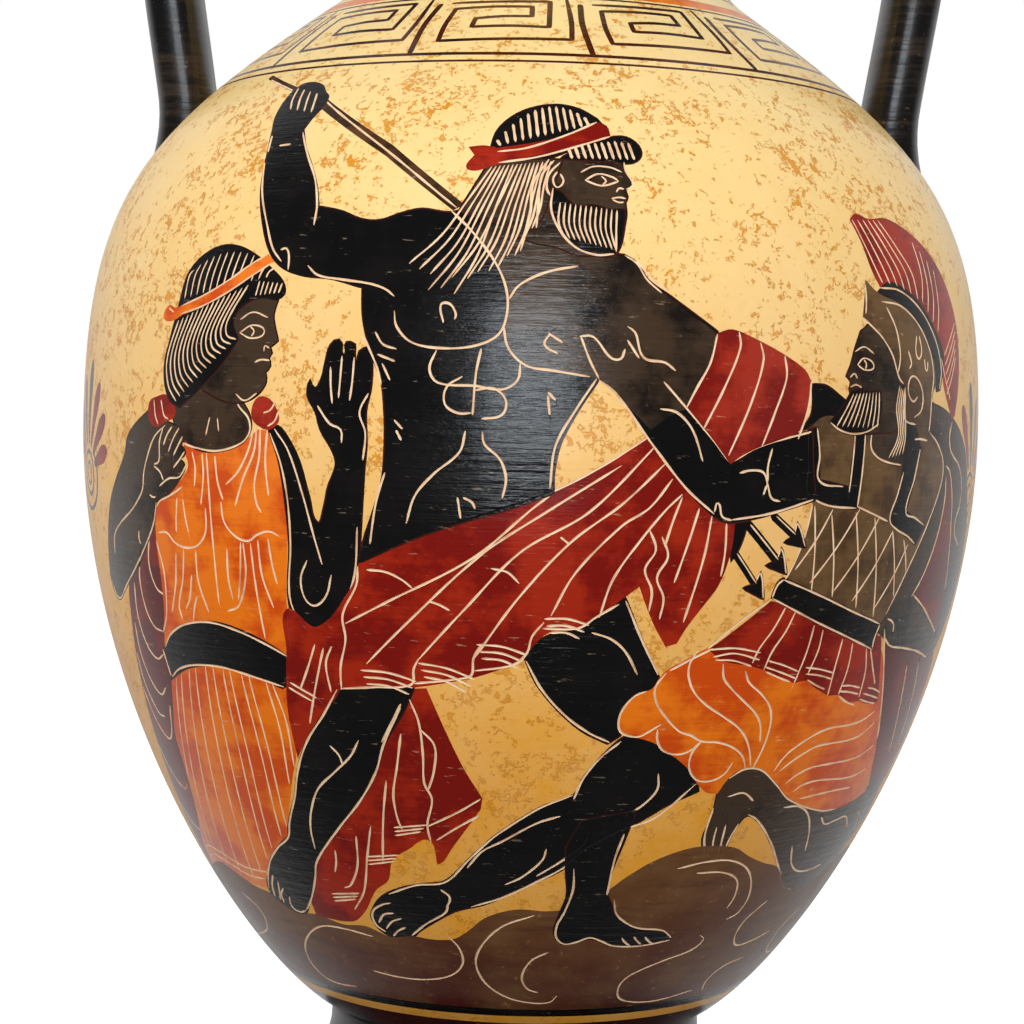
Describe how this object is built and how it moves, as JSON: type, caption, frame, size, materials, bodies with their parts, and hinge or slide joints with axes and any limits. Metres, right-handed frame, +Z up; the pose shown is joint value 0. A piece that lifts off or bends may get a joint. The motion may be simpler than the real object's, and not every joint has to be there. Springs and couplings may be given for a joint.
{
  "type": "amphora",
  "caption": "Neck amphora of fired clay: egg-shaped body on a disc foot, narrow neck with a flaring lip, and strap handles from shoulder to neck.",
  "frame": {"origin": "middle of the resting face, under the foot", "axes": "+Z up along the vessel's axis; +X towards handle_right; -Y towards the painted front"},
  "size_m": [0.19, 0.19, 0.316],
  "materials": {
    "black_gloss": "black slip on fired clay, satin gloss",
    "cream_slip": "cream slip on fired clay with a painted scene, satin varnish"
  },
  "bodies": {
    "root": {"foot": "black_gloss", "body_lower": "cream_slip", "body_upper": "cream_slip", "neck": "cream_slip", "mouth": "black_gloss", "handle_left": "black_gloss", "handle_right": "black_gloss"}
  },
  "joints": []
}
